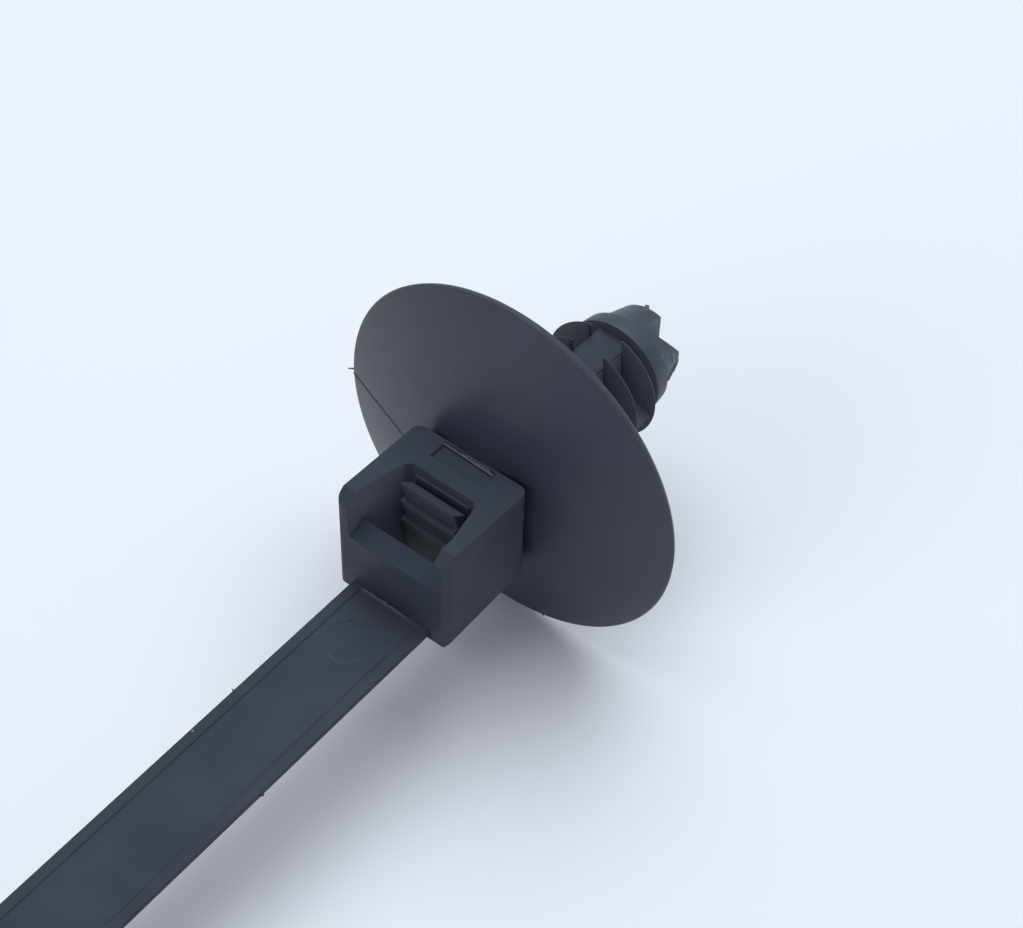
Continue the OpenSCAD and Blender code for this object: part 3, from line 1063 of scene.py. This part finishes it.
def straight(start, end, side, out, power=RIDGE_SWELL):
    """Path of a ridge that runs straight between two points."""
    start, end = Vector(start), Vector(end)
    steps = RIDGE_STEPS
    return [(start.lerp(end, k / steps), side, out, swell(k, steps, power)) for k in range(steps + 1)]


def make_mould_line():
    """Line that the mould's halves leave on the disc, from the head to the rim, coloured dark as painted
    shade of a fine step.
    """
    steps = 40
    slope = DISC_RISE / DISC_R
    z = MOULD_LINE_Z
    path = []
    for k in range(steps + 1):
        y = MOULD_LINE_START_Y + (MOULD_LINE_END_Y - MOULD_LINE_START_Y) * k / steps
        radius = math.hypot(y, z)
        out = (-1, slope * y / radius, slope * z / radius)
        path.append(((slope * radius - DISC_RISE, y, z), (0, 0, 1), out, 1.0))
    return ragged_ridge("mould_line", path, painted_seam_shade, width=0.24, height=0.02, seed=5, torn=0.2, sway=0.12)


def nose_tear(x, start, end):
    """Path of a torn line round the nose's cone, between two angles in degrees."""
    steps = 12
    r = CONE_R + (TIP_R - CONE_R) * (x - CONE_X) / (TIP_X - CONE_X)
    path = []
    for k in range(steps + 1):
        angle = math.radians(start + (end - start) * k / steps)
        out = (0, math.cos(angle), math.sin(angle))
        path.append(((x, r * out[1], r * out[2]), (1, 0, 0), out, swell(k, steps)))
    return path


def ejector_edge():
    """Path of the flash on a part of the ejector mark's edge."""
    path = []
    for k in range(RIDGE_STEPS + 1):
        angle = math.radians(EJECTOR_FLASH_START + EJECTOR_FLASH_TURN * k / RIDGE_STEPS)
        out = (math.cos(angle), math.sin(angle), 0)
        spot = (EJECTOR_R * out[0] - EJECTOR_AT, EJECTOR_R * out[1] + EJECTOR_OFF, -CHANNEL_DEPTH)
        path.append((strap_place() @ Vector(spot), out, (0, 0, 1), swell(k, RIDGE_STEPS)))
    return path


def make_flash():
    """Flash left by the mould on the head and strap, and where its halves meet on fins and nose; its pale
    colour is partly a painted highlight.
    """
    up, ahead = Vector((0, 0, 1)), Vector((1, 0, 0))
    recess = straight((-2.8, 1.6, HEAD_TOP), (-2.89, -1.5, HEAD_TOP), ahead, up)
    behind = straight((-2.7, 0.3, HEAD_TOP), (-2.75, -1.2, HEAD_TOP), ahead, up, power=0.6)
    root_x = HEAD_FRONT_X - CHANNEL_START
    root_z = STRAP_UNDER_Z + STRAP_T - FLASH_SINK
    channel = straight((root_x, 1.7, root_z), (root_x, -1.1, root_z), ahead, up)
    out = Vector((0, math.cos(PARTING_ANGLE), math.sin(PARTING_ANGLE)))
    side = Vector((0, -math.sin(PARTING_ANGLE), math.cos(PARTING_ANGLE)))
    cone = straight(ahead * CONE_X + out * CONE_R, ahead * TIP_X + out * TIP_R, side, out, power=0.5)
    # The web between the fins is drawn in the pale flash colour, which also lightens that shaded gap as
    # painted light.
    web_x = FIN_FIRST + WEB_FIRST_FIN * FIN_PITCH + FIN_RIM_T / 2
    web_foot = ahead * web_x + out * (FIN_R - WEB_DEPTH)
    web = straight(web_foot, web_foot + ahead * WEB_GAPS * FIN_PITCH, side, out, power=0)
    lobe = nose_tear(TIP_X - 0.8, start=162, end=174)
    tear = nose_tear(TIP_X - 1.5, start=166, end=186)
    return [
        ragged_ridge("recess_flash", recess, flash, width=0.06, height=0.09, seed=3),
        ragged_ridge("recess_back_flash", behind, flash, width=0.05, height=0.08, seed=7),
        ragged_ridge("channel_flash", channel, flash, width=0.06, height=0.12, seed=11),
        ragged_ridge("ejector_flash", ejector_edge(), flash, width=0.05, height=0.05, seed=13),
        ragged_ridge("nose_flash", cone, flash, width=0.06, height=0.17, seed=17, torn=0.4),
        ragged_ridge("fin_flash", web, flash, width=0.06, height=1.15, seed=19, torn=0.12),
        ragged_ridge("lobe_tear", lobe, torn_nylon, width=0.06, height=0.09, seed=23),
        ragged_ridge("cone_tear", tear, torn_nylon, width=0.06, height=0.09, seed=29),
    ]


def add_burr(bm, root, point, width):
    """Adds a blunt spike between two points and returns its faces."""
    root, point = Vector(root), Vector(point)
    along = (point - root).normalized()
    across = along.orthogonal().normalized()
    over = along.cross(across)
    angles = [2 * math.pi * k / BURR_SIDES for k in range(BURR_SIDES)]
    rounds = [across * math.cos(a) + over * math.sin(a) for a in angles]
    low = [bm.verts.new(root + spoke * width) for spoke in rounds]
    high = [bm.verts.new(point + spoke * width * BURR_TAPER) for spoke in rounds]
    sides = [bm.faces.new((low[k - 1], low[k], high[k], high[k - 1])) for k in range(BURR_SIDES)]
    return [bm.faces.new(reversed(low)), bm.faces.new(high), *sides]


def make_burrs():
    """Torn specks, each as (root, point, width, finish)."""
    rim, edge, tip = DISC_R, STRAP_HALF_W, TIP_R
    burrs = [
        # Whisker on the disc's rim, and a speck low on it
        ((0.08, rim - BURR_SEAT, -0.06), (0.1, rim + 0.42, -0.38), 0.06, nylon),
        ((0.1, -2.57, -9.55), (0.1, -2.66, -9.8), 0.06, nylon),
        # Along the strap's edges
        ((-19.97, BURR_SEAT - edge, -3.62), (-20.03, -edge - 0.12, -3.58), 0.16, nylon),
        ((-16.8, edge - BURR_SEAT, -3.4), (-16.83, edge + 0.05, -3.28), 0.05, nylon),
        ((-19.55, edge - 2 * BURR_SEAT, -3.56), (-19.6, edge - BURR_SEAT, -3.46), 0.07, torn_nylon),
        # Flake on the tip's edge, in the pale nylon whose lightness is painted light
        ((TIP_X - 0.3, 0.1, tip - BURR_SEAT), (TIP_X - 0.06, 0.2, tip + 0.2), 0.2, fin_nylon),
        ((TIP_X - 0.22, -0.06, tip - BURR_SEAT), (TIP_X - 0.12, -0.08, tip + 0.06), 0.15, fin_nylon),
        # Specks on the cone
        ((9.79, -2.0, 1.18), (9.79, -2.1, 1.24), 0.05, torn_nylon),
        ((9.84, 0.35, 2.3), (9.84, 0.36, 2.42), 0.04, torn_nylon),
    ]
    finishes = [nylon, torn_nylon, fin_nylon]
    bm = bmesh.new()
    for root, point, width, finish in burrs:
        for face in add_burr(bm, root, point, width):
            face.material_index = finishes.index(finish)
    piece = new_piece("burrs", bm)
    for finish in finishes:
        piece.data.materials.append(finish)
    return finish_piece(piece, smooth_angle=60)


# Stage

def make_table():
    """Pale table top that keeps the part's shadow."""
    half, z = TABLE_HALF * MM, TABLE_Z * MM
    mesh = bpy.data.meshes.new("table")
    corners = [(-half, -half, z), (half, -half, z), (half, half, z), (-half, half, z)]
    mesh.from_pydata(corners, [], [(0, 1, 2, 3)])
    table = bpy.data.objects.new("table", mesh)
    bpy.context.scene.collection.objects.link(table)
    paper = bpy.data.materials.new("pale_table")
    paper.use_nodes = True
    shader = paper.node_tree.nodes["Principled BSDF"]
    shader.inputs["Base Color"].default_value = TABLE_COLOUR
    shader.inputs["Roughness"].default_value = TABLE_ROUGHNESS
    shader.inputs["Specular IOR Level"].default_value = TABLE_SHEEN
    mesh.materials.append(paper)
    return table


def area_lamp(name, place, aim, size, power, spread=180):
    """Round soft lamp aimed at a point, in millimetres, watts and degrees."""
    lamp = bpy.data.lights.new(name, "AREA")
    lamp.shape = "DISK"
    lamp.size = size * MM
    lamp.energy = power
    lamp.color = DAYLIGHT
    lamp.spread = math.radians(spread)
    holder = bpy.data.objects.new(name, lamp)
    holder.location = Vector(place) * MM
    holder.rotation_euler = (Vector(aim) - Vector(place)).to_track_quat("-Z", "Y").to_euler()
    bpy.context.scene.collection.objects.link(holder)
    return holder


def make_light():
    """Broad soft light from above and a little beyond the tip, a weak fill in front, an even surround."""
    area_lamp("overhead_softbox", (80, 48, 300), (5, 0, TABLE_Z), size=420, power=0.915)
    area_lamp("front_fill", (-250, 40, 110), (-3, 0, 0), size=220, power=0.034, spread=60)
    world = bpy.data.worlds.new("studio")
    bpy.context.scene.world = world
    world.use_nodes = True
    surround = world.node_tree.nodes["Background"]
    surround.inputs["Color"].default_value = (*DAYLIGHT, 1.0)
    surround.inputs["Strength"].default_value = SURROUND


def make_camera():
    """Camera at the photograph's place and angle."""
    lens = bpy.data.cameras.new("camera")
    lens.sensor_fit = "HORIZONTAL"
    lens.sensor_width = CAMERA_SENSOR
    lens.lens = CAMERA_LENS
    lens.clip_start = MM
    camera = bpy.data.objects.new("camera", lens)
    aim = Vector(CAMERA_AIM) - Vector(CAMERA_PLACE)
    camera.location = Vector(CAMERA_PLACE) * MM
    camera.rotation_mode = "QUATERNION"
    camera.rotation_quaternion = aim.to_track_quat("-Z", "Y") @ Quaternion((0, 0, 1), CAMERA_ROLL)
    bpy.context.scene.collection.objects.link(camera)
    bpy.context.scene.camera = camera


grain_group = mould_grain_group()
specks_group = dust_group()
scratch_group = scuff_group()
nylon = moulded_nylon("black_nylon", BLACK_DARK, BLACK_LIGHT)
matt_nylon = moulded_nylon("matt_nylon", BLACK_DARK, BLACK_LIGHT, rough=(0.6, 0.7), sheen=MATT_SHEEN)
# The disc's smoother nylon has a darker base colour, which offsets the front lamp's light on it: painted
# shade.
disc_nylon = moulded_nylon(
    "disc_nylon", (0.024, 0.03, 0.045), (0.031, 0.038, 0.056),
    rough=(0.36, 0.46), bump=0.2, sheen=DISC_SHEEN,
)
# Lighter, glossier nylon for the nose: its lightness is painted light.
nose_nylon = moulded_nylon(
    "nose_nylon", (0.058, 0.068, 0.09), (0.071, 0.083, 0.108),
    rough=(0.42, 0.54), bump=0.2, sheen=NOSE_SHEEN,
)
# Pale nylon for faces in shade: the fins' backs, the stem's flanks, the collar's back and the blade's
# walls. Its lightness is painted light, not the nylon's colour.
fin_nylon = moulded_nylon("fin_nylon", (0.15, 0.166, 0.203), (0.18, 0.198, 0.238))
# Paler nylon for the slot's walls: painted light for their shade.
slot_nylon = moulded_nylon("slot_nylon", (0.125, 0.139, 0.17), (0.15, 0.166, 0.2))
# Lighter nylon for the pawl and the wall behind it: painted light.
pawl_nylon = moulded_nylon("pawl_nylon", (0.055, 0.063, 0.079), (0.066, 0.075, 0.094))
# Paler nylon on edge rounds: partly wear, partly a painted highlight.
worn_edge = moulded_nylon(
    "worn_edge", (0.058, 0.065, 0.079), (0.075, 0.083, 0.098),
    rough=(0.42, 0.54), bump=0.2,
)
# Pale colour for flash and the fins' rims: partly the flash's own paleness, partly a painted highlight.
flash = moulded_nylon(
    "mould_flash", (0.08, 0.088, 0.104), (0.125, 0.136, 0.156),
    rough=(0.4, 0.55), bump=0.3,
)
torn_nylon = moulded_nylon(
    "torn_nylon", (0.3, 0.31, 0.33), (0.45, 0.46, 0.48),
    rough=(0.4, 0.55), bump=0.3,
)
# Dark, duller nylon on the mould line: its darkness is painted shade.
painted_seam_shade = moulded_nylon(
    "mould_seam", (0.02, 0.024, 0.033), (0.026, 0.031, 0.042),
    rough=(0.55, 0.65), bump=0.1, sheen=SEAM_SHEEN,
)

row_tree = repeat_tree()
make_disc()
make_stem()
make_fins(row_tree)
make_nose()
make_head()
make_pawl()
make_strap()
make_teeth(row_tree)
make_mould_line()
make_flash()
make_burrs()
make_table()
make_light()
make_camera()
bpy.context.scene.view_settings.view_transform = "Standard"
